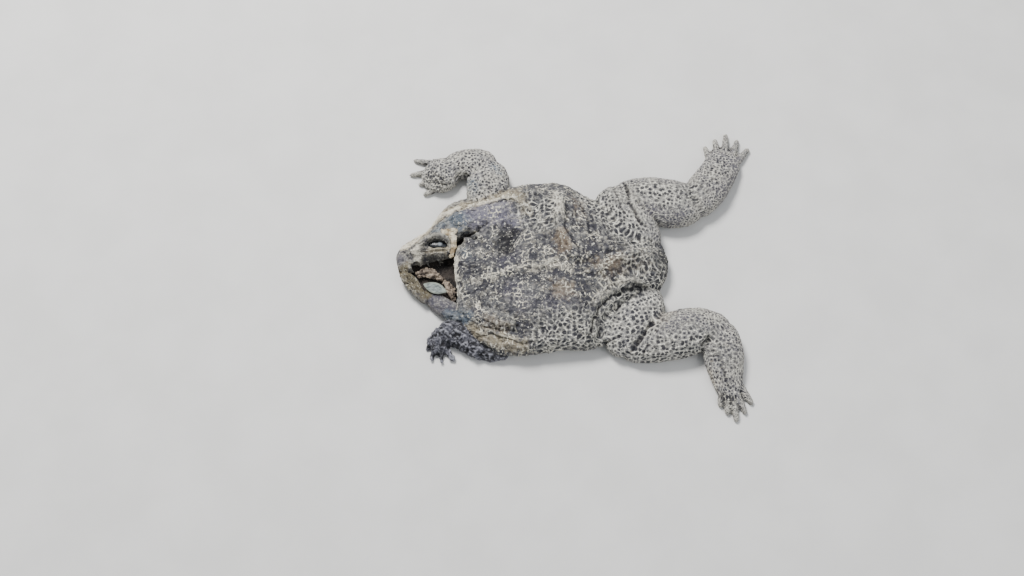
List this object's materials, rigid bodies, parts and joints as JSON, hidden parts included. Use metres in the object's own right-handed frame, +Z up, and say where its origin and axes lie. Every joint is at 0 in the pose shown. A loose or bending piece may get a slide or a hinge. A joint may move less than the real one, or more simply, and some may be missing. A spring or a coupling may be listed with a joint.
{
  "type": "dried cane toad",
  "caption": "Dried, flattened cane toad lying on its belly with its legs spread, for display or ground dressing.",
  "frame": {"origin": "on the flat of the belly, which rests on the floor, under the middle of the back", "axes": "+X from the snout to the rump, +Y towards the toad's right side, +Z up"},
  "size_m": [0.1767, 0.1572, 0.0198],
  "materials": {
    "back_skin": "dry, matt, granular",
    "head_skin": "dry, matt, granular",
    "gland_skin": "dry, smooth, slight sheen",
    "limb_skin": "dry, matt, granular",
    "shrivelled_skin": "dry, wrinkled, slight sheen",
    "jaw_skin": "dry, matt",
    "throat_skin": "dry, matt",
    "bone": "dry bone, matt",
    "eye": "dried, satin"
  },
  "bodies": {
    "root": {"torso": "back_skin", "head": "head_skin", "right_parotoid_gland": "gland_skin", "left_parotoid_gland": "gland_skin", "left_cheek": "gland_skin", "right_upper_arm": "limb_skin", "right_forearm": "limb_skin", "right_hand": "limb_skin", "right_thigh": "limb_skin", "right_shank": "limb_skin", "right_foot": "limb_skin", "left_thigh": "limb_skin", "left_shank": "limb_skin", "left_foot": "limb_skin", "left_upper_arm": "shrivelled_skin", "left_forearm": "shrivelled_skin", "left_hand": "shrivelled_skin", "lower_jaw": "jaw_skin", "left_upper_jaw": "jaw_skin", "throat": "throat_skin", "ear_bone": "bone", "palate_bone": "bone", "cheek_bone": "bone", "right_eye": "eye", "left_eye": "eye"}
  },
  "joints": []
}
